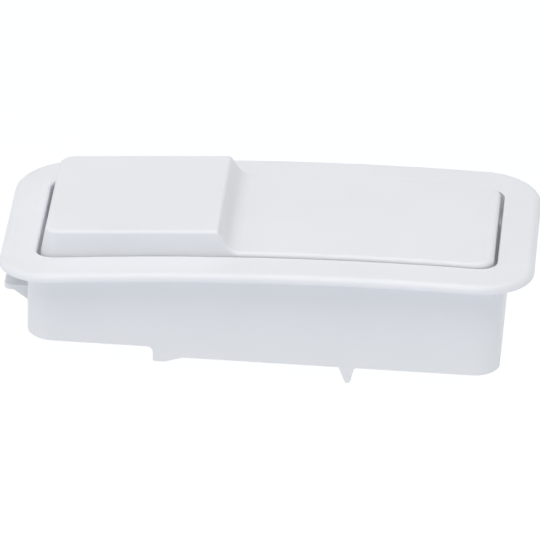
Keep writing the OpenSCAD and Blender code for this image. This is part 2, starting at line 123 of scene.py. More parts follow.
def colour(name, description, default):
    """A colour of a finish, as linear red, green and blue."""
    return FloatVectorProperty(name=name, description=description, default=default, size=3, min=0, max=1,
                               subtype="COLOR")


def strength(name, description, default):
    """The strength of a light."""
    return FloatProperty(name=name, description=description, default=default, min=0)


class BUTTON_PG_frame(bpy.types.PropertyGroup):
    """Sizes of the frame: flange, opening and skirt."""
    arch_r: length("Arch radius", "Radius of the arch along the frame", 920)
    crown: length("Crown", "Distance of the arch's highest line from the middle", 34)
    opening_end: length("Opening end", "Distance of the opening's ends from the middle", 56)
    opening_half: length("Opening half width", "Half of the opening's width", 23)
    opening_r: length("Opening corner", "Radius of the opening's corners", 5)
    opening_edge: length("Opening edge", "Rounding of the opening's upper edge", 0.25)
    left_edge: length("Left edge", "Rounding of the opening's upper edge at its left end", 1)
    end_margin: length("End margin", "Width of the flange at the ends", 9)
    side_margin: length("Side margin", "Width of the flange at the long sides", 10.5)
    thick: length("Flange thickness", "Thickness of the flange", 2)
    soft_edge: length("Soft edge", "Width of the soft edge round the flange", 1.8)
    lower_edge: length("Lower edge", "Height where the flange's upright rim ends", 0.3)
    end_wall: length("End wall", "Thickness of the skirt's end walls", 2.2)
    side_wall: length("Side wall", "Thickness of the skirt's long walls", 2.8)
    root: length("Root", "Fillet between the skirt and the flange", 0.6)
    skirt: length("Skirt depth", "Depth of the skirt below the lid's surface", 25.4)
    short_end: length("Short end", "How much shorter the skirt is at its left end", 2.5)
    draft: angle("Outer draft", "Taper of the skirt's outer faces", 1.05)
    inner_draft: angle("Inner draft", "Taper of the skirt's inner faces", 0.5)
    chamfer: length("Chamfer", "Soft edge along the bottom of the skirt", 0.25)
    tooth_x: offset("Tooth place", "Where the tooth starts, from the middle", -26.6)
    tooth_h: length("Tooth height", "How far the tooth stands below the edge", 1.4)
    tooth_tip: length("Tooth tip", "Length of the tooth's tip", 2.8)
    tooth_flank: length("Tooth flank", "Length of the tooth's long flank", 4.6)
    peg_x: offset("Peg place", "Place of the peg's middle, from the middle of the frame", 21)
    peg_h: length("Peg length", "Length of the peg below the edge", 4.2)
    peg_r: length("Peg radius", "Radius of the peg's round end", 0.75)
    peg_left: length("Peg left slant", "How much wider the peg gets upwards on its left", 1.5)
    peg_right: length("Peg right slant", "How much wider the peg gets upwards on its right", 0.6)


class BUTTON_PG_cap(bpy.types.PropertyGroup):
    """Sizes of the push plate and its pad."""
    left_gap: length("Left gap", "Gap at the pad's end", 1)
    right_gap: length("Right gap", "Gap at the hinge's end", 0.9)
    side_gap: length("Side gap", "Gap along the opening's long sides", 0.3)
    proud: length("Proud", "How far the plate stands above the flange", 0.95)
    skin: length("Skin", "Thickness of the plate and of the pad's top", 2)
    rim_h: length("Rim depth", "Depth of the plate's rim, from its top", 4.5)
    rim_t: length("Rim thickness", "Thickness of the rim", 1.8)
    corner_r: length("Corner radius", "Radius of the plate's corners", 4.5)
    edge_r: length("Edge radius", "Rounding of the upper edges", 0.9)
    pad_h: length("Pad height", "Height of the pad above the flange", 6.15)
    pad_l: length("Pad length", "Length of the pad's top from the plate's left edge", 43)
    pad_edge_r: length("Pad edge radius", "Rounding between the pad's top and its right face", 0.9)
    foot_r: length("Foot radius", "Radius of the hollow at the foot of the pad", 4.5)
    tilt: angle("Pad tilt", "Tilt of the pad's top", 3.8)
    slope: angle("Pad slope", "Steepness of the pad's right face", 57)
    side_draft: angle("Side draft", "Taper of the pad's front and back faces", 7.6)
    left_lean: angle("Left lean", "Lean of the pad's left face", 9)


class BUTTON_PG_fittings(bpy.types.PropertyGroup):
    """Sizes of what is moulded on the frame and under the plate."""
    lid: length("Lid", "Thickness of the lid that the tab and the hook hold", 9)
    tab_reach: length("Tab reach", "How far the tab reaches under the lid", 6)
    tab_w: length("Tab width", "Width of the tab", 30)
    tab_t: length("Tab thickness", "Thickness of the tab", 1.4)
    tab_corner: length("Tab corners", "Radius of the tab's corners", 1.6)
    tab_rib: length("Tab ribs", "Depth of the tab's ribs at the wall", 4.7)
    tongue_w: length("Tongue width", "Width of the snap tongue", 15)
    tongue_slot: length("Tongue slots", "Width of the slots beside the tongue", 1.2)
    hook_reach: length("Hook reach", "How far the tongue's hook reaches under the lid", 1.5)
    bearing_l: length("Bearing length", "Length of the bearings for the pin", 2.5)
    bearing_r: length("Bearing radius", "Radius of the bearings", 2.4)
    knuckle_w: length("Knuckle width", "Width of the knuckle on the pin", 25)
    knuckle_r: length("Knuckle radius", "Radius of the knuckle", 1.8)
    rib: length("Ribs", "Thickness of the ribs", 1.6)
    shelf: length("Shelf depth", "Depth of the springs' shelves below the lid's surface", 18)
    post_r: length("Post radius", "Radius of the posts inside the springs", 3.2)
    post_gap: length("Post gap", "Room between the posts at rest", 6.8)
    boss_drop: length("Boss depth", "Depth of the screw's boss below the lid's surface", 6)
    soft: length("Soft edges", "Rounding of the fittings' edges", 0.25)


class BUTTON_PG_mechanism(bpy.types.PropertyGroup):
    """Sizes of the springs, the screw and its nut."""
    wire: length("Spring wire", "Diameter of the spring wire", 0.8)
    turns: IntProperty(name="Spring turns", description="Number of turns of a spring", default=7, min=4)
    spring_keep: FloatProperty(name="Pressed length", default=0.67, min=0.1, max=1,
                               description="Share of a spring's length left when pressed")
    screw_r: length("Screw radius", "Radius of the adjusting screw over its thread", 4)
    head_h: length("Head height", "Height of the screw's head", 4)
    stem_r: length("Stem radius", "Radius of the soft foot's stem", 1.6)
    pitch: length("Thread pitch", "Pitch of the adjusting screw's thread", 1.25)
    thread_h: length("Thread height", "Height of the thread over its core", 0.55)


class BUTTON_PG_finish(bpy.types.PropertyGroup):
    """Colours of the finishes."""
    plastic: colour("Plastic", "Colour of the white mouldings", (0.785, 0.80, 0.83))
    plastic_roughness: FloatProperty(name="Plastic roughness", description="Roughness of the white mouldings",
                                     default=0.4, min=0, max=1)
    natural: colour("Screw plastic", "Colour of the screw and its nut", (0.62, 0.61, 0.54))
    steel: colour("Steel", "Colour of the pin and the springs", (0.56, 0.56, 0.57))
    rubber: colour("Rubber", "Colour of the soft foot", (0.022, 0.022, 0.024))


class BUTTON_PG_stage(bpy.types.PropertyGroup):
    """Camera, lights and floor."""
    azimuth: angle("Azimuth", "Direction of the camera, from the front towards +X", 3.148)
    elevation: angle("Elevation", "Height of the camera above the horizon", 25.585)
    roll: angle("Roll", "Turn of the camera about its line of sight", 2.113)
    distance: length("Distance", "Distance of the camera", 1979.25)
    middle: length("Middle", "Height of the point that the camera turns round", 2.62)
    lens: FloatProperty(name="Lens", description="Focal length in millimetres", default=539.75, min=10)
    aim_right: offset("Aim right", "How far right of the middle the camera looks", -0.656)
    aim_up: offset("Aim up", "How far above the middle the camera looks", -13.57)
    top_light: strength("Top light", "Power of the large light overhead", 9.1)
    front_light: strength("Front light", "Power of the light above the front", 10.8)
    left_light: strength("Left light", "Power of the light at the left", 2.2)
    sky: strength("Sky", "Strength of the light from all round", 0.47)
    # The floor's glow and its shade under the frame are painted into the floor's colour: a painted pool of
    # light round the frame and a painted shadow under it.
    floor_glow: strength("Floor glow", "Light that the floor gives round the frame", 1)
    shade_l: length("Shade length", "Half of the length of the shade under the frame", 58)
    shade_w: length("Shade width", "Half of the width of the shade under the frame", 19)
    shade_y: offset("Shade place", "How far behind the frame's middle the shade lies", 8)


# Outlines and heights
# Short names from here on: s for the settings of the frame, the mechanism or the finish, c for the cap's,
# m for the fittings' and t for the stage's.

class Spot:
    """A point that every ring of a moulding has: its place round a corner or along a long side."""

    def __init__(self, co, outline, stations):
        self.side = math.copysign(1, co.y)
        self.end = 0
        self.station = min(range(len(stations)), key=lambda i: abs(stations[i] - co.x))
        for end, sign in ((outline.x0, -1), (outline.x1, 1)):
            along = (co.x - end) * sign + outline.r
            if along > 1e-7:
                self.end = sign
                self.along = along / outline.r
                self.across = (abs(co.y) - outline.half + outline.r) / outline.r
        self.x = co.x
        self.start = outline.x0 + outline.r
        self.left_share = max(0, 1 - 4 * (co.x - self.start) / (outline.x1 - outline.x0))


class Outline:
    """A rounded rectangle seen from above, from x0 to x1 and half as wide as half."""

    def __init__(self, x0, x1, half, r):
        self.x0, self.x1, self.half, self.r = x0, x1, half, r

    def inside(self, step, left=0):
        """The outline that lies a step further in, and at its left end a further step."""
        return Outline(self.x0 + step + left, self.x1 - step, self.half - step, self.r - step)

    def at(self, spot):
        """Where a spot lies on this outline."""
        if spot.end:
            middle = (self.x1 if spot.end > 0 else self.x0) - spot.end * self.r
            return (middle + spot.end * self.r * spot.along,
                    spot.side * (self.half - self.r + self.r * spot.across))
        shift = (self.x0 + self.r - spot.start) * spot.left_share
        return spot.x + shift, spot.side * self.half


def arch(x):
    """Height of the arch above the frame's middle."""
    s = bpy.context.scene.button_frame
    return math.sqrt(s.arch_r ** 2 - (x - s.crown) ** 2) - math.sqrt(s.arch_r ** 2 - s.crown ** 2)


def quarter(steps, first=0):
    """Angles of a quarter turn in equal steps."""
    return [math.pi / 2 * i / steps for i in range(first, steps + 1)]


def arc(centre, r, start, end, steps):
    """Points along an arc, with its angles in degrees."""
    turns = [math.radians(start + (end - start) * i / steps) for i in range(steps + 1)]
    return [(centre[0] + r * math.cos(a), centre[1] + r * math.sin(a)) for a in turns]


def middle_of(box):
    """The middle of a box."""
    return (box[0] + box[1]) / 2


def radius_of(box):
    """The radius of the round piece that a box holds."""
    return (box[1].x - box[0].x) / 2


# Mesh helpers

class Rings:
    """A skin that grows from a first ring of points, ring by ring."""

    def __init__(self, outline, stations, corner_steps):
        self.bm = bmesh.new()
        grid = bmesh.ops.create_grid(self.bm, x_segments=1, y_segments=1, size=1)
        for v in grid["verts"]:
            v.co = (outline.x0 if v.co.x < 0 else outline.x1, math.copysign(outline.half, v.co.y), 0)
        bmesh.ops.bevel(self.bm, geom=grid["verts"], offset=outline.r, offset_type="OFFSET",
                        segments=corner_steps, profile=0.5, affect="VERTICES", material=-1)
        for x in stations[1:-1]:
            bmesh.ops.bisect_plane(self.bm, geom=self.bm.verts[:] + self.bm.edges[:],
                                   plane_co=(x, 0, 0), plane_no=(1, 0, 0), dist=1e-8)
        bmesh.ops.delete(self.bm, geom=self.bm.faces[:], context="FACES_ONLY")
        self.ring = self.walk(self.bm.verts[:][0])
        self.first = self.ring
        self.spots = [Spot(v.co, outline, stations) for v in self.ring]

    @staticmethod
    def walk(start):
        """The points of a ring in order."""
        found = [start]
        step = start.link_edges[0].other_vert(start)
        while step != start:
            found.append(step)
            step = next(v for v in (e.other_vert(step) for e in step.link_edges) if v != found[-2])
        return found

    @staticmethod
    def edges(ring):
        """The edges of a ring."""
        return [next(e for e in a.link_edges if e.other_vert(a) == b)
                for a, b in zip(ring, ring[1:] + ring[:1])]

    def put(self, place):
        """Puts each point of the ring where a function of its spot says."""
        for v, spot in zip(self.ring, self.spots):
            v.co = place(spot)

    def grow(self, place):
        """Extrudes the ring, and puts each new point where a function of its spot says."""
        order = {v: i for i, v in enumerate(self.ring)}
        made = bmesh.ops.extrude_edge_only(self.bm, edges=self.edges(self.ring))["geom"]
        new = [None] * len(order)
        for v in made:
            if isinstance(v, bmesh.types.BMVert):
                old = next(u for u in (e.other_vert(v) for e in v.link_edges) if u in order)
                new[order[old]] = v
        self.ring = new
        self.put(place)

    def go_back(self):
        """Goes on from the first ring, and gives the ring where it was."""
        last, self.ring = self.ring, self.first
        return last

    def join(self, other):
        """Closes the skin between the ring and another one."""
        bmesh.ops.bridge_loops(self.bm, edges=self.edges(self.ring) + self.edges(other))

    def close(self):
        """Closes the ring with strips that run from its front half to its back half."""
        halves = [e for e in self.edges(self.ring) if e.verts[0].co.y * e.verts[1].co.y > 0]
        bmesh.ops.bridge_loops(self.bm, edges=halves)


def piece(name, bm, material=None, sharp=MOULDED_EDGE):
    """Makes an object of a mesh, with faces that point outwards and smooth shading between soft edges."""
    bmesh.ops.recalc_face_normals(bm, faces=bm.faces[:])
    if bm.calc_volume(signed=True) < 0:
        bmesh.ops.reverse_faces(bm, faces=bm.faces[:])
    mesh = bpy.data.meshes.new(name)
    bm.to_mesh(mesh)
    bm.free()
    if material:
        mesh.materials.append(material)
    made = bpy.data.objects.new(name, mesh)
    bpy.context.scene.collection.objects.link(made)
    mesh.shade_smooth()
    mesh.set_sharp_from_angle(angle=math.radians(sharp))
    return made


def finish_shading(made):
    """Makes large faces keep their own direction where they meet a small rounding."""
    shade = made.modifiers.new("Face weights", "WEIGHTED_NORMAL")
    shade.keep_sharp = True
    shade.weight = 50
    return made


def solids(made):
    """Splits an object into one object for each of its closed solids."""
    before = set(bpy.data.objects)
    bpy.ops.object.select_all(action="DESELECT")
    made.select_set(True)
    bpy.context.view_layer.objects.active = made
    bpy.ops.mesh.separate(type="LOOSE")
    return [made] + sorted(set(bpy.data.objects) - before, key=lambda other: other.name)


def combine(made, name, bm, operation):
    """Joins a mesh to a piece, cuts it away, or keeps what both share, one solid after the other."""
    for solid in solids(piece(name, bm)):
        step = made.modifiers.new(operation.title(), "BOOLEAN")
        step.operation = operation
        step.solver = "MANIFOLD"
        step.object = solid
        bpy.context.view_layer.update()
        result = bpy.data.meshes.new_from_object(made.evaluated_get(bpy.context.evaluated_depsgraph_get()))
        made.modifiers.remove(step)
        if not result.polygons:
            raise RuntimeError(f"Nothing is left of {made.name} after {operation.lower()} with {name}")
        old, made.data = made.data, result
        result.name = old.name
        bpy.data.meshes.remove(old)
        bpy.data.objects.remove(solid)
    made.data.set_sharp_from_angle(angle=math.radians(MOULDED_EDGE))
    return made


def push_out(bm, face, way):
    """Makes a face into a solid along a way, and gives the points at its far end."""
    made = bmesh.ops.extrude_face_region(bm, geom=[face])["geom"]
    moved = [v for v in made if isinstance(v, bmesh.types.BMVert)]
    bmesh.ops.translate(bm, verts=moved, vec=way)
    return moved


def prism(bm, points, y0, y1, soft=0):
    """A solid with a side view drawn in X and Z, from y0 to y1, with its edges softened."""
    verts = [bm.verts.new((x, y0, z)) for x, z in points]
    moved = push_out(bm, bm.faces.new(verts), (0, y1 - y0, 0))
    if soft:
        soften(bm, verts + moved, soft)


def soften(bm, verts, soft):
    """Rounds the edges between these points."""
    solid = set(verts)
    edges = [e for e in bm.edges if set(e.verts) <= solid]
    bmesh.ops.bevel(bm, geom=edges, offset=soft, offset_type="OFFSET", segments=2, profile=0.5,
                    affect="EDGES", clamp_overlap=True, material=-1)


def block(bm, low, high, soft=0):
    """A box between two corners, with its edges softened."""
    prism(bm, [(low[0], low[2]), (high[0], low[2]), (high[0], high[2]), (low[0], high[2])],
          low[1], high[1], soft)


def turned(bm, profile, centre, steps, direction="Z"):
    """A solid turned about an axis, from a profile of radius and height along the axis."""
    verts = [bm.verts.new((r, 0, z)) for r, z in profile]
    edges = [bm.edges.new(pair) for pair in zip(verts, verts[1:])]
    before = set(bm.verts) - set(verts)
    bmesh.ops.spin(bm, geom=verts + edges, cent=(0, 0, 0), axis=(0, 0, 1), dvec=(0, 0, 0),
                   angle=FULL_TURN, steps=steps, use_merge=True, use_duplicate=False)
    new = [v for v in bm.verts if v not in before]
    place = Matrix.Translation(centre)
    if direction == "Y":
        place = place @ Matrix.Rotation(math.radians(-90), 4, "X")
    bmesh.ops.transform(bm, matrix=place, verts=new)
    bmesh.ops.remove_doubles(bm, verts=new, dist=1e-7)


def cylinder(bm, r, low, high, centre, steps, direction="Z"):
    """A plain round solid about an axis."""
    turned(bm, [(0, low), (r, low), (r, high), (0, high)], centre, steps, direction)


# Materials

def new_material(name):
    """An empty node material and its shader."""
    material = bpy.data.materials.new(name)
    material.use_nodes = True
    nodes = material.node_tree.nodes
    shader = next(n for n in nodes if n.type == "BSDF_PRINCIPLED")
    return material, nodes, material.node_tree.links, shader


def object_noise(nodes, links, scale, detail, stretch=(1, 1, 1)):
    """Noise that stays with the object."""
    where = nodes.new("ShaderNodeTexCoord")
    mapping = nodes.new("ShaderNodeMapping")
    mapping.inputs["Scale"].default_value = stretch
    noise = nodes.new("ShaderNodeTexNoise")
    noise.inputs["Scale"].default_value = scale
    noise.inputs["Detail"].default_value = detail
    links.new(where.outputs["Object"], mapping.inputs["Vector"])
    links.new(mapping.outputs["Vector"], noise.inputs["Vector"])
    return noise.outputs["Fac"]


def ramp(nodes, links, source, stops):
    """Colours or greys along a value, as pairs of place and colour."""
    made = nodes.new("ShaderNodeValToRGB")
    elements = made.color_ramp.elements
    elements[0].position, elements[0].color = stops[0][0], stops[0][1]
    elements[1].position, elements[1].color = stops[-1][0], stops[-1][1]
    for place, value in stops[1:-1]:
        elements.new(place).color = value
    links.new(source, made.inputs["Fac"])
    return made.outputs["Color"]


def tone(rgb, factor):
    """A colour made lighter or darker, with full alpha."""
    return tuple(min(c * factor, 1) for c in rgb) + (1,)


def grey(value):
    """A grey as a colour with full alpha."""
    return value, value, value, 1


def raise_skin(nodes, links, shader, height, amount, depth):
    """Gives a surface a fine relief that follows a value."""
    bump = nodes.new("ShaderNodeBump")
    bump.inputs["Strength"].default_value = amount
    bump.inputs["Distance"].default_value = depth
    links.new(height, bump.inputs["Height"])
    links.new(bump.outputs["Normal"], shader.inputs["Normal"])


def vary(nodes, links, shader, value, colours, roughness):
    """Makes a finish's colour and roughness follow a value."""
    for socket, stops in (("Base Color", colours), ("Roughness", roughness)):
        links.new(ramp(nodes, links, value, stops), shader.inputs[socket])


def white_plastic(name):
    """Glossy moulded plastic with a faint swirl of colour, a fine skin and a few tiny specks."""
    s = bpy.context.scene.button_finish
    material, nodes, links, shader = new_material(name)
    swirl = object_noise(nodes, links, 38, 3)
    base = ramp(nodes, links, swirl, [(0.3, tone(s.plastic, 0.985)), (0.7, tone(s.plastic, 1.012))])
    specks = object_noise(nodes, links, 2400, 1)
    speck_mask = ramp(nodes, links, specks, [(0.80, grey(0)), (0.83, grey(0.16))])
    mix = nodes.new("ShaderNodeMix")
    mix.data_type = "RGBA"
    mix.inputs["B"].default_value = (0.42, 0.41, 0.40, 1)
    links.new(speck_mask, mix.inputs["Factor"])
    links.new(base, mix.inputs["A"])
    links.new(mix.outputs["Result"], shader.inputs["Base Color"])
    gloss = object_noise(nodes, links, 160, 4)
    rough = ramp(nodes, links, gloss,
                 [(0.25, grey(s.plastic_roughness - 0.04)), (0.75, grey(s.plastic_roughness + 0.05))])
    links.new(rough, shader.inputs["Roughness"])
    raise_skin(nodes, links, shader, object_noise(nodes, links, 1400, 2), 0.05, 0.05 * MM)
    shader.inputs["IOR"].default_value = 1.5
    shader.inputs["Specular IOR Level"].default_value = 0.4
    shader.inputs["Subsurface Weight"].default_value = 0.04
    shader.inputs["Subsurface Radius"].default_value = (1, 0.95, 0.9)
    shader.inputs["Subsurface Scale"].default_value = 0.8 * MM
    return material


def natural_plastic(name):
    """Uncoloured plastic, slightly cloudy."""
    s = bpy.context.scene.button_finish
    material, nodes, links, shader = new_material(name)
    cloud = object_noise(nodes, links, 120, 4)
    vary(nodes, links, shader, cloud, [(0.3, tone(s.natural, 0.93)), (0.7, tone(s.natural, 1.05))],
         [(0.2, grey(0.38)), (0.8, grey(0.5))])
    raise_skin(nodes, links, shader, object_noise(nodes, links, 1600, 2), 0.12, 0.05 * MM)
    shader.inputs["Subsurface Weight"].default_value = 0.25
    shader.inputs["Subsurface Scale"].default_value = 1 * MM
    return material


def steel(name, stretch):
    """Drawn steel with fine lines along one direction."""
    s = bpy.context.scene.button_finish
    material, nodes, links, shader = new_material(name)
    lines = object_noise(nodes, links, 900, 5, stretch)
    vary(nodes, links, shader, lines, [(0.3, tone(s.steel, 0.85)), (0.7, tone(s.steel, 1.1))],
         [(0.3, grey(0.22)), (0.7, grey(0.36))])
    raise_skin(nodes, links, shader, lines, 0.15, 0.02 * MM)
    shader.inputs["Metallic"].default_value = 1
    return material


def rubber(name):
    """Matt moulded rubber."""
    s = bpy.context.scene.button_finish
    material, nodes, links, shader = new_material(name)
    grain = object_noise(nodes, links, 1100, 4)
    vary(nodes, links, shader, grain, [(0.3, tone(s.rubber, 0.8)), (0.7, tone(s.rubber, 1.5))],
         [(0.2, grey(0.62)), (0.8, grey(0.78))])
    raise_skin(nodes, links, shader, grain, 0.3, 0.05 * MM)
    return material


# Frame moulding

def lower_edge_points(s):
    """Points along the skirt's lower edge from left to right: the short end, the tooth and the peg."""
    start = s.opening_r - s.opening_end
    low, short = -s.skirt, s.short_end - s.skirt
    tooth_low, peg_low = low - s.tooth_h, low - s.peg_h
    tip_end, peg_end = s.tooth_x + s.tooth_tip, s.peg_x + s.peg_r + s.peg_right
    step_r, tip_r, root_r = 1.5 * MM, 0.6 * MM, 0.9 * MM
    # The straight stretches have points too, because the flange above them is arched
    points = [(start, short), (-40 * MM, short)]
    points += arc((s.tooth_x - step_r, short - step_r), step_r, 90, 0, 6)
    points += arc((s.tooth_x + tip_r, tooth_low + tip_r), tip_r, 180, 270, 5)
    points += [(tip_end, tooth_low), (tip_end + s.tooth_flank, low)]
    points += [(0, low), (12 * MM, low), (s.peg_x - s.peg_r - s.peg_left, low)]
    points += arc((s.peg_x, peg_low + s.peg_r), s.peg_r, 200, 350, 8)
    points += arc((peg_end + root_r, low - root_r), root_r, 175, 90, 5)
    points += [(x * MM, low) for x in (30, 36, 42)] + [(-start, low)]
    return points


def spread(points, gap):
    """The points' places along X, each at least a gap after the one before."""
    places = []
    for x in (point[0] for point in points):
        places.append(max(x, places[-1] + gap) if places else x)
    return places


def upward(points):
    """Directions that point up from a line of points, square to it."""
    found = []
    for i in range(len(points)):
        a, b = points[max(i - 1, 0)], points[min(i + 1, len(points) - 1)]
        run = Vector((b[0] - a[0], b[1] - a[1])).normalized()
        found.append((-run.y, run.x))
    return found


def frame_shell(s):
    """The flange and the skirt: rings from the opening's wall round the flange and down to the foot."""
    edge = lower_edge_points(s)
    ups = upward(edge)
    least_gap, corner_steps = 0.04 * MM, 14
    opening = Outline(-s.opening_end, s.opening_end, s.opening_half, s.opening_r)
    flange = Outline(opening.x0 - s.end_margin, opening.x1 + s.end_margin, opening.half + s.side_margin,
                     opening.r + s.end_margin)
    skirt = Outline(opening.x0 - s.end_wall, opening.x1 + s.end_wall, opening.half + s.side_wall,
                    opening.r + s.end_wall)
    rings = Rings(opening, spread(edge, least_gap), corner_steps)

    def on(outline, height):
        """Puts a spot on an outline at a height that follows the arch."""
        def place(spot):
            x, y = outline.at(spot)
            return x, y, height + arch(x)
        return place

    def on_edge(turn):
        """Puts a spot on the opening's upper edge, whose rounding is widest at the left end."""
        def place(spot):
            x, y = opening.at(spot)
            out_x, out_y = opening.inside(-MM).at(spot)
            left = spot.along if spot.end < 0 else 0
            r = s.opening_edge + (s.left_edge - s.opening_edge) * left ** 2
            step = r * (1 - math.cos(turn)) / MM
            height = s.thick - r * (1 - math.sin(turn))
            return x + (out_x - x) * step, y + (out_y - y) * step, height + arch(x)
        return place

    def at_foot(wall, draft, side, up, step):
        """Puts a spot on a tapered wall by the lower edge. Side is 1 for the outer face, -1 inside."""
        def place(spot):
            z = edge[spot.station][1] + up * ups[spot.station][1]
            x, y = wall.inside(side * (abs(z) * math.tan(draft) + step)).at(spot)
            if not spot.end:
                x = edge[spot.station][0] + up * ups[spot.station][0]
            return x, y, z
        return place

    rings.put(on_edge(0))
    for a in quarter(6, 1):
        rings.grow(on_edge(a))
    for a in reversed(quarter(8)):
        rings.grow(on(flange.inside(s.soft_edge * (1 - math.cos(a))),
                      s.lower_edge + (s.thick - s.lower_edge) * math.sin(a)))
    for a in quarter(3, 1):
        rings.grow(on(flange.inside(s.lower_edge * (1 - math.cos(a))), s.lower_edge * (1 - math.sin(a))))
    for a in quarter(4):
        rings.grow(on(skirt.inside(s.root * (math.sin(a) - 1)), s.root * (math.cos(a) - 1)))
    rings.grow(at_foot(skirt, s.draft, 1, s.chamfer, 0))
    rings.grow(at_foot(skirt, s.draft, 1, 0, s.chamfer))
    outer = rings.go_back()
    rings.grow(at_foot(opening, s.inner_draft, -1, s.chamfer, 0))
    rings.grow(at_foot(opening, s.inner_draft, -1, 0, s.chamfer))
    rings.join(outer)
    return rings.bm


def rib(bm, points, middle, thick, soft=0):
    """A rib drawn in X and Z, on a middle line along Y."""
    prism(bm, points, middle - thick / 2, middle + thick / 2, soft)


def wall_fillet(x, z, side):
    """Side view of a fillet on a level face, beside a wall at x that lies towards side."""
    root = bpy.context.scene.button_frame.root
    buried, foot = x + side * MM, x - side * root
    bend = arc((foot, z + root), root, 270 + side * 90, 270, 6)
    return [(buried, z - root), (buried, z + root)] + bend + [(foot, z - root)]


def web(bm, x0, x1, points):
    """A web drawn in Y and Z that stands across X."""
    verts = [bm.verts.new((x0, y, z)) for y, z in points]
    push_out(bm, bm.faces.new(verts), (x1 - x0, 0, 0))


def post(bm, foot, r, height, soft):
    """A round post with a softened end. It hangs down where its height is negative."""
    up = math.copysign(soft, height)
    turned(bm, [(0, 0), (r, 0), (r, height - 2 * up), (r - 0.6 * soft, height - 0.6 * up),
                (r - 2 * soft, height), (0, height)], foot, 40)


def tab_under_lid(bm, s, m):
    """The fixed tab at the left end, with its fillet and its three ribs."""
    wall = -s.opening_end - s.end_wall
    top = arch(wall - m.tab_reach / 2) - m.lid
    root, tip, half = wall + MM, wall - m.tab_reach, m.tab_w / 2
    under, low, rib_inset = top - m.tab_t, top - m.tab_rib, 1.8 * MM
    bend = arc((tip + m.tab_corner, half - m.tab_corner), m.tab_corner, 90, 180, 8)
    shape = [(root, half)] + bend + [(x, -y) for x, y in reversed(bend)] + [(root, -half)]
    verts = [bm.verts.new((x, y, under)) for x, y in shape]
    soften(bm, verts + push_out(bm, bm.faces.new(verts), (0, 0, m.tab_t)), m.soft)
    prism(bm, wall_fillet(wall + m.lid * math.tan(s.draft), top, 1), -half, half)
    rib_view = [(root, under), (tip + m.tab_corner, under), (wall + 0.3 * MM, low), (root, low - 0.4 * MM)]
    for side in (-1, 0, 1):
        rib(bm, rib_view, side * (half - rib_inset), m.rib, m.soft * 0.8)


def tongue_hook(bm, s, m):
    """The hook on the snap tongue at the right end."""
    wall = s.opening_end + s.end_wall
    top = arch(wall) - m.lid
    side_room, lip, slope = 2.5 * MM, 0.8 * MM, 3.6 * MM
    half, tip = m.tongue_w / 2 - side_room, wall + m.hook_reach
    prism(bm, [(wall - MM, top), (tip, top), (tip, top - lip), (wall - MM, top - slope)],
          -half, half, m.soft * 0.6)
    prism(bm, wall_fillet(wall - m.lid * math.tan(s.draft), top, -1), -half, half)


def spring_shelf(bm, s, m, side):
    """A shelf on a long wall with its two webs and the post inside the spring."""
    spring = middle_of(SPRING_BOX)
    radius = radius_of(SPRING_BOX)
    margin, thick, sunk, web_h, post_h = 0.7 * MM, 2 * MM, 0.5 * MM, 2.6 * MM, 2 * MM
    wall, edge = side * (s.opening_half + MM), side * (spring.y - radius - margin)
    reach, low = radius + MM, -m.shelf - thick
    block(bm, (spring.x - reach, min(wall, edge), low), (spring.x + reach, max(wall, edge), -m.shelf), m.soft)
    for end in (-1, 1):
        x = spring.x + end * (reach - m.rib / 2)
        web(bm, x - m.rib / 2, x + m.rib / 2,
            [(wall, low + sunk), (edge, low + sunk), (edge, low), (wall, low - web_h)])
    post(bm, (spring.x, side * spring.y, -m.shelf - sunk), m.post_r, post_h + sunk, m.soft)


def pin_bearing(bm, s, m, side):
    """A bearing of the pin on a long wall."""
    pin = middle_of(PIN_BOX)
    near, far = side * (s.opening_half - m.bearing_l), side * (s.opening_half + MM)
    turned(bm, [(0, near), (m.bearing_r - m.soft, near), (m.bearing_r, near + side * m.soft),
                (m.bearing_r, far), (0, far)], (pin.x, 0, pin.z), 48, "Y")


def frame_fittings(s, m):
    """What is moulded on the skirt: tab, hook, bearings, shelves and the ledge for the cap's legs."""
    bm = bmesh.new()
    tab_under_lid(bm, s, m)
    tongue_hook(bm, s, m)
    for side in (-1, 1):
        pin_bearing(bm, s, m, side)
        spring_shelf(bm, s, m, side)
    wall, low, half = -s.opening_end - MM, -15 * MM, 16.5 * MM
    edge, edge_h, wall_h = wall + 2.1 * MM, MM, 2.6 * MM
    prism(bm, [(wall, low), (edge, low), (edge, low + edge_h), (wall, low + wall_h)],
          -half, half, m.soft * 0.6)
    return bm


def frame_cuts(s, m):
    """What is cut from the frame: the slots beside the tongue and the pin's hole."""
    bm = bmesh.new()
    past, slot_top = 40 * MM, -5 * MM
    for side in (-1, 1):
        middle = side * (m.tongue_w + m.tongue_slot) / 2
        block(bm, (s.opening_end - MM, middle - m.tongue_slot / 2, -past),
              (s.opening_end + 6 * MM, middle + m.tongue_slot / 2, slot_top))
    pin = middle_of(PIN_BOX)
    cylinder(bm, radius_of(PIN_BOX), PIN_BOX[0].y, past, (pin.x, 0, pin.z), 48, "Y")
    return bm


# Cap moulding

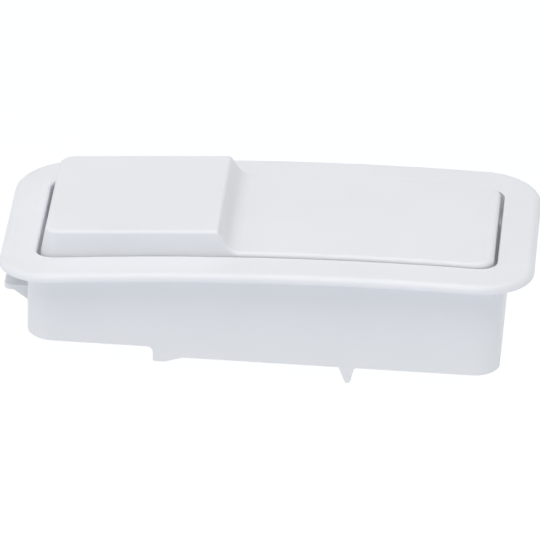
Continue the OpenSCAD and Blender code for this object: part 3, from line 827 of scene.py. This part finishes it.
class Profile:
    """Side view of the cap's top: the tilted pad, its right face, the hollow at its foot and the plate."""

    def __init__(self, s, c):
        self.thick, self.proud, self.skin = s.thick, c.proud, c.skin
        self.rim = s.thick + c.proud - c.rim_h
        self.x0, self.x1 = -s.opening_end + c.left_gap, s.opening_end - c.right_gap
        self.mid = self.x0 + c.pad_l / 2
        self.mid_z = s.thick + arch(self.mid) + c.pad_h
        self.tilt = c.tilt
        edge = self.x0 + c.pad_l
        corner = Vector((edge, self.pad(edge)))
        top = Vector((math.cos(c.tilt), math.sin(c.tilt)))
        down = Vector((math.cos(c.slope), -math.sin(c.slope)))
        reach = c.pad_edge_r * math.tan((c.tilt + c.slope) / 2)
        self.edge_r, self.foot_r = c.pad_edge_r, c.foot_r
        self.start = corner - reach * top
        self.edge_centre = self.start - c.pad_edge_r * Vector((-top.y, top.x))
        self.edge_end = corner + reach * down
        # The plate near the foot, as a line
        base_x = edge + 6 * MM
        lean = -math.asin((base_x - s.crown) / s.arch_r)
        along = Vector((math.cos(lean), math.sin(lean)))
        up = Vector((-along.y, along.x))
        base = Vector((base_x, self.plate(base_x)))
        meet = corner + down * ((base - corner).dot(up) / down.dot(up))
        reach = c.foot_r * math.tan((c.slope + lean) / 2)
        self.foot_start = meet - reach * down
        self.foot_end = meet + reach * along
        self.foot_centre = self.foot_end + c.foot_r * up
        self.slope = c.slope

    def pad(self, x):
        """Height of the pad's top."""
        return self.mid_z + (x - self.mid) * math.tan(self.tilt)

    def plate(self, x):
        """Height of the plate's top."""
        return self.thick + self.proud + arch(x)

    def under(self, x):
        """Height of the plate's underside."""
        return self.plate(x) - self.skin

    def top(self, x):
        """Height of the cap's top at a place along X."""
        if x <= self.start.x:
            return self.pad(x)
        if x < self.edge_end.x:
            return self.edge_centre.y + math.sqrt(max(self.edge_r ** 2 - (x - self.edge_centre.x) ** 2, 0))
        if x < self.foot_start.x:
            return self.edge_end.y - (x - self.edge_end.x) * math.tan(self.slope)
        if x < self.foot_end.x:
            return self.foot_centre.y - math.sqrt(max(self.foot_r ** 2 - (x - self.foot_centre.x) ** 2, 0))
        return self.plate(x)

    def steepness(self, x):
        """Cosine of the top's slope at a place along X."""
        step = 0.01 * MM
        rise = (self.top(x + step) - self.top(x - step)) / (2 * step)
        return 1 / math.sqrt(1 + rise * rise)

    def stations(self, r):
        """Places along the long sides, close together where the top bends."""
        bends = [self.x0 + r, self.start.x, self.edge_end.x, self.foot_start.x, self.foot_end.x, self.x1 - r]
        places = bends[:1]
        for a, b, steps in zip(bends, bends[1:], (8, 7, 3, 12, 14)):
            places += [a + (b - a) * i / steps for i in range(1, steps + 1)]
        return places


def cap_shell(s, c):
    """The cap's skin: from the rim up the tapered sides and over the top, and the hollow inside."""
    shape = Profile(s, c)
    outer = Outline(shape.x0, shape.x1, s.opening_half - c.side_gap, c.corner_r)
    soft, corner_steps, least_cosine = 0.2 * MM, 10, 0.5
    rings = Rings(outer, shape.stations(c.corner_r), corner_steps)

    def taper(x, z):
        """How far the sides and the left face have moved in at a height."""
        up = max(z - s.thick - arch(x), 0)
        return up * math.tan(c.side_draft), up * math.tan(c.left_lean)

    def on(step, height):
        """Puts a spot a step inside the tapered outline, at a height that is a function of X."""
        def place(spot):
            x, y = outer.inside(step).at(spot)
            for again in range(2):
                z = height(x)
                side_in, left_in = taper(x, z)
                outline = outer.inside(side_in + step, left_in - side_in)
                x, y = outline.at(spot)
            return x, y, height(x)
        return place

    def below_top(share):
        """Height of the upper rounding, from its start at 0 to its end on the top at 1."""
        return lambda x: shape.top(x) - c.edge_r * (1 - share) / max(shape.steepness(x), least_cosine)

    rings.put(on(0, lambda x: shape.rim + soft + arch(x)))
    rings.grow(on(0, lambda x: s.thick + arch(x)))
    for a in quarter(6):
        rings.grow(on(c.edge_r * (1 - math.cos(a)), below_top(math.sin(a))))
    rings.close()
    rings.go_back()
    rings.grow(on(soft, lambda x: shape.rim + arch(x)))
    rings.grow(on(c.rim_t - soft, lambda x: shape.rim + arch(x)))
    rings.grow(on(c.rim_t, lambda x: shape.rim + soft + arch(x)))
    rings.grow(on(c.rim_t, shape.under))
    rings.grow(on(c.rim_t, lambda x: shape.top(x) - c.skin / max(shape.steepness(x), least_cosine)))
    rings.close()
    return rings.bm


def cap_ribs(bm, s, c, m, shape):
    """The ribs under the plate and under the pad, and the screw's boss."""
    pin, screw = middle_of(PIN_BOX), middle_of(SCREW_BOX)
    start, half, across = shape.x0 + c.pad_l - 6 * MM, s.opening_half - c.side_gap, m.rib / 2
    beam_y, beam_low, beam_sunk = 10.5 * MM, pin.z - 1.2 * MM, 1.3 * MM
    cross_ribs, cross_h, cross_sunk = (2 * MM, 18 * MM, 34 * MM), 1.9 * MM, 0.6 * MM
    pad_low, left, soft = -2 * MM, shape.x0 + MM, m.soft * 0.6
    beam = [(start, shape.under(start) + beam_sunk), (pin.x, shape.under(pin.x) + beam_sunk),
            (pin.x, beam_low), (start, beam_low)]
    for side in (-1, 1):
        rib(bm, beam, side * beam_y, m.rib, soft)
    for x in cross_ribs:
        block(bm, (x - across, MM - half, shape.under(x) - cross_h),
              (x + across, half - MM, shape.under(x) + cross_sunk), soft)
    roof, boss_r = shape.pad(screw.x) - c.skin / 2, 6.5 * MM
    block(bm, (screw.x - across, 2 * MM - half, pad_low), (screw.x + across, half - 2 * MM, roof), soft)
    rib(bm, [(left, pad_low), (left, shape.pad(shape.x0) - c.skin), (start, shape.pad(start) - MM),
             (start, pad_low)], 0, m.rib, soft)
    post(bm, (screw.x, 0, roof), boss_r, -m.boss_drop - roof, m.soft)


def cap_springs_and_legs(bm, s, c, m, shape):
    """The springs' seats with their posts, and the two legs that catch under the frame's ledge."""
    spring = middle_of(SPRING_BOX)
    radius = radius_of(SPRING_BOX)
    roof = shape.pad(spring.x) - c.skin / 2
    seat, seat_r = SPRING_BOX[1].z + 0.15 * MM, radius + 0.6 * MM
    tip, tip_r = 2 * MM - m.shelf + m.post_gap, m.post_r - 0.35 * MM
    profile = [(0, roof), (seat_r, roof), (seat_r, seat + m.soft), (seat_r - m.soft, seat),
               (m.post_r, seat), (tip_r, tip + 2 * m.soft), (tip_r - 2 * m.soft, tip), (0, tip)]
    outer, inner, leg_y, leg_w = 1.4 * MM - s.opening_end, 3 * MM - s.opening_end, 12 * MM, 6 * MM
    catch, foot, toe = -15.1 * MM, -17.5 * MM, 0.9 * MM
    leg = [(inner, shape.rim), (inner, foot), (outer, foot), (outer - toe, catch - toe),
           (outer - toe, catch), (outer, catch), (outer, shape.rim - MM)]
    for side in (-1, 1):
        turned(bm, profile, (spring.x, side * spring.y, 0), 40)
        rib(bm, leg, side * leg_y, leg_w, m.soft * 0.6)


def cap_knuckle(bm, m):
    """The knuckle on the pin, with the web that carries it."""
    pin = middle_of(PIN_BOX)
    half, top, r = m.knuckle_w / 2, arch(pin.x), m.knuckle_r
    turned(bm, [(0, -half), (r - m.soft, -half), (r, m.soft - half), (r, half - m.soft), (r - m.soft, half),
                (0, half)], (pin.x, 0, pin.z), 48, "Y")
    left, right, low_left, low = pin.x - 4.5 * MM, pin.x + 0.9 * MM, pin.x - 1.2 * MM, pin.z - 0.8 * MM
    prism(bm, [(left, top + 0.5 * MM), (pin.x + 0.4 * MM, top + 2.5 * MM), (right, top + MM),
               (right, pin.z), (low_left, low)], -half, half)


def cap_cuts(m, shape):
    """What is cut from the cap: room for the bearings, the pin's bore and the screw's."""
    bm = bmesh.new()
    pin, screw = middle_of(PIN_BOX), middle_of(SCREW_BOX)
    room, inner, outer = pin.x - m.bearing_r - MM, m.knuckle_w / 2, m.knuckle_w / 2 + 10 * MM
    for side in (-1, 1):
        y = sorted((side * inner, side * outer))
        block(bm, (room, y[0], -40 * MM), (room + 20 * MM, y[1], shape.under(room)))
    play, bore_r = 0.05 * MM, bpy.context.scene.button_mechanism.screw_r
    cylinder(bm, radius_of(PIN_BOX) + play, -m.knuckle_w, m.knuckle_w, (pin.x, 0, pin.z), 48, "Y")
    cylinder(bm, bore_r, -m.boss_drop - MM, 2 * MM, (screw.x, 0, 0), 48)
    return bm


# Pin, springs, screw, nut and foot

def spring_wire(s, side):
    """A round wire wound round Z with closed ends, ring after ring along its helix."""
    bm = bmesh.new()
    spring = middle_of(SPRING_BOX)
    radius = radius_of(SPRING_BOX) - s.wire / 2
    low, height = SPRING_BOX[0].z, SPRING_BOX[1].z - SPRING_BOX[0].z
    flat = s.wire * 1.05
    free = height - s.wire - 2 * flat
    per_turn, wire_sides = 36, 14

    def rise(turn):
        """How far the wire has risen after some turns. It lies almost flat in the first and the last."""
        if turn < 1:
            return flat * turn
        if turn > s.turns - 1:
            return free + flat * (turn - s.turns + 2)
        return flat + free * (turn - 1) / (s.turns - 2)

    upright = Matrix.Translation((radius, 0, low + s.wire / 2)) @ Matrix.Rotation(math.radians(90), 4, "X")
    bmesh.ops.create_circle(bm, cap_ends=False, segments=wire_sides, radius=s.wire / 2, matrix=upright)
    end = bm.edges[:]
    for i in range(s.turns * per_turn):
        step = rise((i + 1) / per_turn) - rise(i / per_turn)
        made = bmesh.ops.spin(bm, geom=end, cent=(0, 0, 0), axis=(0, 0, 1), dvec=(0, 0, step),
                              angle=FULL_TURN / per_turn, steps=1, use_merge=False, use_duplicate=False)
        end = [g for g in made["geom_last"] if isinstance(g, bmesh.types.BMEdge)]
    bmesh.ops.holes_fill(bm, edges=bm.edges[:], sides=wire_sides)
    bmesh.ops.translate(bm, verts=bm.verts[:], vec=(spring.x, side * spring.y, 0))
    return bm


def thread(r, depth, pitch, low, high):
    """A helical ridge round Z, which runs out at both ends."""
    bm = bmesh.new()
    per_turn = 28
    foot, root, crest = r - depth - 0.1 * MM, 0.42 * pitch, 0.1 * pitch
    profile = [(foot, -root), (r, -crest), (r, crest), (foot, root)]
    verts = [bm.verts.new((x, 0, low + root + z)) for x, z in profile]
    end = [bm.edges.new((verts[i], verts[(i + 1) % 4])) for i in range(4)]
    steps = int((high - low - 2 * root) / pitch * per_turn)
    turn = FULL_TURN / per_turn * steps
    made = bmesh.ops.spin(bm, geom=end, cent=(0, 0, 0), axis=(0, 0, 1), dvec=(0, 0, pitch / per_turn),
                          angle=turn, steps=steps, use_merge=False, use_duplicate=False)
    last = [g for g in made["geom_last"] if isinstance(g, bmesh.types.BMVert)]
    for v in verts + last:
        out = Vector((v.co.x, v.co.y, 0))
        v.co -= out.normalized() * min(depth, out.length - r + depth)
    bmesh.ops.holes_fill(bm, edges=bm.edges[:], sides=4)
    return bm


def hexagon(bm, flats, low, high):
    """A hexagonal prism with slightly softened corners."""
    made = bmesh.ops.create_circle(bm, cap_ends=True, segments=6, radius=flats / math.sqrt(3),
                                   matrix=Matrix.Translation((0, 0, low)))
    push_out(bm, made["verts"][0].link_faces[0], (0, 0, high - low))
    upright = [e for e in bm.edges if abs(e.verts[0].co.z - e.verts[1].co.z) > MM]
    bmesh.ops.bevel(bm, geom=upright, offset=0.3 * MM, offset_type="OFFSET", segments=3, profile=0.5,
                    affect="EDGES", material=-1)


def head_limits(flats, low, high, chamfer):
    """The turned shape that takes the corners off a hexagon's two faces."""
    bm = bmesh.new()
    r, rise = flats / math.sqrt(3) + 0.1 * MM, chamfer * 0.58
    turned(bm, [(0, low), (r - chamfer, low), (r, low + rise), (r, high - rise), (r - chamfer, high),
                (0, high)], (0, 0, 0), 96)
    return bm


# Stage

def floor_material(t):
    """Pale floor with light and shade painted into it. Its glow is darkened under the frame into a painted
    soft shadow and is brightest round the frame, as a painted pool of light that keeps the floor near white
    and lights the frame's walls from below. Further out it is dimmer and bluish.
    """
    material, nodes, links, shader = new_material("Pale floor")
    edge = 0.1
    where = nodes.new("ShaderNodeTexCoord")
    mapping = nodes.new("ShaderNodeMapping")
    mapping.vector_type = "TEXTURE"
    mapping.inputs["Location"].default_value = (0, t.shade_y, 0)
    mapping.inputs["Scale"].default_value = (t.shade_l / edge, t.shade_w / edge, 1)
    length_of = nodes.new("ShaderNodeVectorMath")
    length_of.operation = "LENGTH"
    links.new(where.outputs["Object"], mapping.inputs["Vector"])
    links.new(mapping.outputs["Vector"], length_of.inputs[0])
    distance = length_of.outputs["Value"]
    near, far = (0.98, 0.99, 1, 1), (0.84, 0.88, 0.94, 1)
    # Painted light and shadow: the glow is dark grey under the frame, white round it, and dimmer and bluish
    # further out.
    glow = ramp(nodes, links, distance,
                [(0.4 * edge, grey(0.12)), (edge, near), (2 * edge, near), (5 * edge, far)])
    links.new(glow, shader.inputs["Emission Color"])
    # Painted shade: the base colour is near black under and round the frame, so the floor there sends little
    # light back into the frame.
    shade = ramp(nodes, links, distance, [(2 * edge, grey(0.03)), (5 * edge, grey(0.15))])
    links.new(shade, shader.inputs["Base Color"])
    shader.inputs["Roughness"].default_value = 0.9
    shader.inputs["Specular IOR Level"].default_value = 0.1
    shader.inputs["Emission Strength"].default_value = t.floor_glow
    return material


def area_light(name, place, size, power):
    """A square light that points at the frame's middle."""
    data = bpy.data.lights.new(name, "AREA")
    data.shape = "SQUARE"
    data.size = size
    data.energy = power
    light = bpy.data.objects.new(name, data)
    light.location = place
    light.rotation_euler = (-Vector(place)).to_track_quat("-Z", "Y").to_euler()
    bpy.context.scene.collection.objects.link(light)


def camera(t):
    """The camera, a long way off, with the frame's middle below the middle of its picture."""
    side, height = t.azimuth, t.elevation
    back = Vector((math.sin(side) * math.cos(height), -math.cos(side) * math.cos(height), math.sin(height)))
    right = Vector((math.cos(side), math.sin(side), 0))
    up = back.cross(right)
    across = math.cos(t.roll) * right + math.sin(t.roll) * up
    upward_line = math.cos(t.roll) * up - math.sin(t.roll) * right
    middle = Vector((0, 0, t.middle))
    place = middle + t.distance * back
    aim = middle + t.aim_right * across + t.aim_up * upward_line
    out = (place - aim).normalized()
    x = upward_line.cross(out).normalized()
    y = out.cross(x)
    data = bpy.data.cameras.new("Camera")
    data.sensor_width = 36
    data.lens = t.lens
    made = bpy.data.objects.new("Camera", data)
    made.matrix_world = Matrix.Translation(place) @ Matrix((x, y, out)).transposed().to_4x4()
    bpy.context.scene.collection.objects.link(made)
    bpy.context.scene.camera = made


# Operators

def finished(made, body, node):
    """Hides the node that a piece stands for, and puts the piece on the body that it rides with."""
    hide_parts(node)
    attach(made, body)
    return {"FINISHED"}


class BUTTON_OT_frame(bpy.types.Operator):
    """Moulds the arched frame with its flange, skirt and fittings"""
    bl_idname = "mesh.button_frame"
    bl_label = "Frame moulding"

    def execute(self, context):
        s, m = context.scene.button_frame, context.scene.button_fittings
        made = piece("white_frame", frame_shell(s), white_plastic("Frame plastic"))
        combine(made, "frame_fittings", frame_fittings(s, m), "UNION")
        combine(made, "frame_cuts", frame_cuts(s, m), "DIFFERENCE")
        return finished(finish_shading(made), "frame", "frame_housing")


class BUTTON_OT_cap(bpy.types.Operator):
    """Moulds the push plate with its raised finger pad"""
    bl_idname = "mesh.button_cap"
    bl_label = "Push plate"

    def execute(self, context):
        s, c, m = context.scene.button_frame, context.scene.button_cap, context.scene.button_fittings
        shape = Profile(s, c)
        made = piece("push_plate", cap_shell(s, c), white_plastic("Plate plastic"))
        bm = bmesh.new()
        cap_ribs(bm, s, c, m, shape)
        cap_springs_and_legs(bm, s, c, m, shape)
        cap_knuckle(bm, m)
        combine(made, "cap_fittings", bm, "UNION")
        combine(made, "cap_cuts", cap_cuts(m, shape), "DIFFERENCE")
        return finished(finish_shading(made), "cap", "button_cap")


class BUTTON_OT_pin(bpy.types.Operator):
    """Turns the steel pin of the hinge"""
    bl_idname = "mesh.button_pin"
    bl_label = "Hinge pin"

    def execute(self, context):
        bm = bmesh.new()
        pin = middle_of(PIN_BOX)
        r, soft = radius_of(PIN_BOX), 0.2 * MM
        y0, y1, bend = PIN_BOX[0].y, PIN_BOX[1].y, 0.3 * soft
        turned(bm, [(0, y0), (r - soft, y0), (r, y0 + soft), (r, y1 - soft), (r - bend, y1 - bend),
                    (r - soft, y1), (0, y1)], (pin.x, 0, pin.z), 40, "Y")
        made = piece("steel_pin", bm, steel("Pin steel", (1, 0.08, 1)), ROUND_EDGE)
        return finished(made, "frame", "hinge_pin")


class BUTTON_OT_springs(bpy.types.Operator):
    """Winds the two return springs"""
    bl_idname = "mesh.button_springs"
    bl_label = "Return springs"

    def execute(self, context):
        s = context.scene.button_mechanism
        wire = steel("Spring steel", (1, 1, 1))
        for side, name, node in ((-1, "front_spring", "return_spring_front"),
                                 (1, "back_spring", "return_spring_back")):
            made = piece(name, spring_wire(s, side), wire, ROUND_EDGE)
            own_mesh(made)
            finished(made, "frame", node)
        return {"FINISHED"}


class BUTTON_OT_screw(bpy.types.Operator):
    """Cuts the adjusting screw with its thread and its hexagonal head"""
    bl_idname = "mesh.button_screw"
    bl_label = "Adjusting screw"

    def execute(self, context):
        s = context.scene.button_mechanism
        screw = middle_of(SCREW_BOX)
        low, high, head = SCREW_BOX[0].z, SCREW_BOX[1].z, SCREW_BOX[0].z + s.head_h
        flats = SCREW_BOX[1].y - SCREW_BOX[0].y
        bm = bmesh.new()
        hexagon(bm, flats, low, head)
        made = piece("height_screw", bm, natural_plastic("Screw plastic"))
        combine(made, "head_limits", head_limits(flats, low, head, MM), "INTERSECT")
        core = bmesh.new()
        r, cone = s.screw_r - s.thread_h, 0.6 * MM
        turned(core, [(0, head - MM), (r, head - MM), (r, high - cone), (r - cone, high), (0, high)],
               (0, 0, 0), 56)
        combine(made, "core", core, "UNION")
        combine(made, "thread", thread(s.screw_r, s.thread_h, s.pitch, head + MM, high - cone), "UNION")
        hole = bmesh.new()
        cylinder(hole, s.stem_r, low - MM, head - MM, (0, 0, 0), 32)
        combine(made, "hole", hole, "DIFFERENCE")
        made.data.transform(Matrix.Translation((screw.x, screw.y, 0)))
        return finished(made, "cap", "adjusting_screw")


class BUTTON_OT_nut(bpy.types.Operator):
    """Makes the lock nut"""
    bl_idname = "mesh.button_nut"
    bl_label = "Lock nut"

    def execute(self, context):
        s = context.scene.button_mechanism
        nut = middle_of(NUT_BOX)
        low, high = NUT_BOX[0].z, NUT_BOX[1].z
        flats = NUT_BOX[1].y - NUT_BOX[0].y
        bm = bmesh.new()
        hexagon(bm, flats, low, high)
        made = piece("jam_nut", bm, natural_plastic("Nut plastic"))
        combine(made, "nut_limits", head_limits(flats, low, high, MM), "INTERSECT")
        bore = bmesh.new()
        r, flare = s.screw_r, 0.5 * MM
        wide = r + flare
        turned(bore, [(0, low - MM), (wide, low - MM), (wide, low), (r, low + flare), (r, high - flare),
                      (wide, high), (wide, high + MM), (0, high + MM)], (0, 0, 0), 56)
        combine(made, "nut_bore", bore, "DIFFERENCE")
        made.data.transform(Matrix.Translation((nut.x, nut.y, 0)))
        return finished(made, "cap", "lock_nut")


class BUTTON_OT_foot(bpy.types.Operator):
    """Moulds the soft foot that sits in the screw's head"""
    bl_idname = "mesh.button_foot"
    bl_label = "Soft foot"

    def execute(self, context):
        s = context.scene.button_mechanism
        foot = middle_of(FOOT_BOX)
        r, low, high = radius_of(FOOT_BOX), FOOT_BOX[0].z, FOOT_BOX[1].z
        base, stem_r = SCREW_BOX[0].z, s.stem_r
        soft, bevel = 0.8 * MM, 0.3 * MM
        bm = bmesh.new()
        edge = arc((r - soft, low + soft), soft, 270, 360, 6)
        turned(bm, [(0, low)] + edge + [(r, base - bevel), (r - bevel, base), (stem_r, base),
                                        (stem_r, high - bevel), (stem_r - bevel, high), (0, high)],
               (foot.x, foot.y, 0), 56)
        made = piece("rubber_foot", bm, rubber("Foot rubber"), ROUND_EDGE)
        return finished(made, "cap", "push_foot")


class BUTTON_OT_stage(bpy.types.Operator):
    """Sets the floor, the lights and the camera"""
    bl_idname = "scene.button_stage"
    bl_label = "Stage"

    def execute(self, context):
        t = context.scene.button_stage
        bm = bmesh.new()
        bmesh.ops.create_grid(bm, x_segments=1, y_segments=1, size=3,
                              matrix=Matrix.Translation((0, 0, CAD_BOX[0].z)))
        floor = piece("floor", bm, floor_material(t))
        overhead, above_front, at_left = (-0.1, 0.2, 1.7), (-0.1, -0.85, 1.5), (-1.6, -0.3, 0.7)
        large, small = 1.2, 0.8
        area_light("Top light", overhead, large, t.top_light)
        area_light("Front light", above_front, large, t.front_light)
        area_light("Left light", at_left, small, t.left_light)
        world = bpy.data.worlds.new("Studio")
        world.use_nodes = True
        background = next(n for n in world.node_tree.nodes if n.type == "BACKGROUND")
        background.inputs["Color"].default_value = (1, 1, 1, 1)
        background.inputs["Strength"].default_value = t.sky
        context.scene.world = world
        context.scene.view_settings.view_transform = "Standard"
        camera(t)
        return {"FINISHED"}


class BUTTON_PT_panel(bpy.types.Panel):
    """Lists the operators in the sidebar"""
    bl_idname = "BUTTON_PT_panel"
    bl_label = "Cistern push button"
    bl_space_type = "VIEW_3D"
    bl_region_type = "UI"
    bl_category = "Push button"

    def draw(self, context):
        for operator in OPERATORS:
            self.layout.operator(operator.bl_idname)


GROUPS = {
    "button_frame": BUTTON_PG_frame,
    "button_cap": BUTTON_PG_cap,
    "button_fittings": BUTTON_PG_fittings,
    "button_mechanism": BUTTON_PG_mechanism,
    "button_finish": BUTTON_PG_finish,
    "button_stage": BUTTON_PG_stage,
}
OPERATORS = (BUTTON_OT_frame, BUTTON_OT_cap, BUTTON_OT_pin, BUTTON_OT_springs, BUTTON_OT_screw,
             BUTTON_OT_nut, BUTTON_OT_foot, BUTTON_OT_stage)


def register():
    """Adds the classes and their settings."""
    for name, group in GROUPS.items():
        bpy.utils.register_class(group)
        setattr(bpy.types.Scene, name, PointerProperty(type=group))
    for made in OPERATORS + (BUTTON_PT_panel,):
        bpy.utils.register_class(made)


def unregister():
    """Takes them out again."""
    for made in reversed(OPERATORS + (BUTTON_PT_panel,)):
        bpy.utils.unregister_class(made)
    for name, group in GROUPS.items():
        delattr(bpy.types.Scene, name)
        bpy.utils.unregister_class(group)


def main():
    """Makes the whole button on its stage."""
    register()
    bpy.ops.mesh.button_frame()
    bpy.ops.mesh.button_cap()
    bpy.ops.mesh.button_pin()
    bpy.ops.mesh.button_springs()
    bpy.ops.mesh.button_screw()
    bpy.ops.mesh.button_nut()
    bpy.ops.mesh.button_foot()
    bpy.ops.scene.button_stage()


if __name__ == "__main__":
    main()
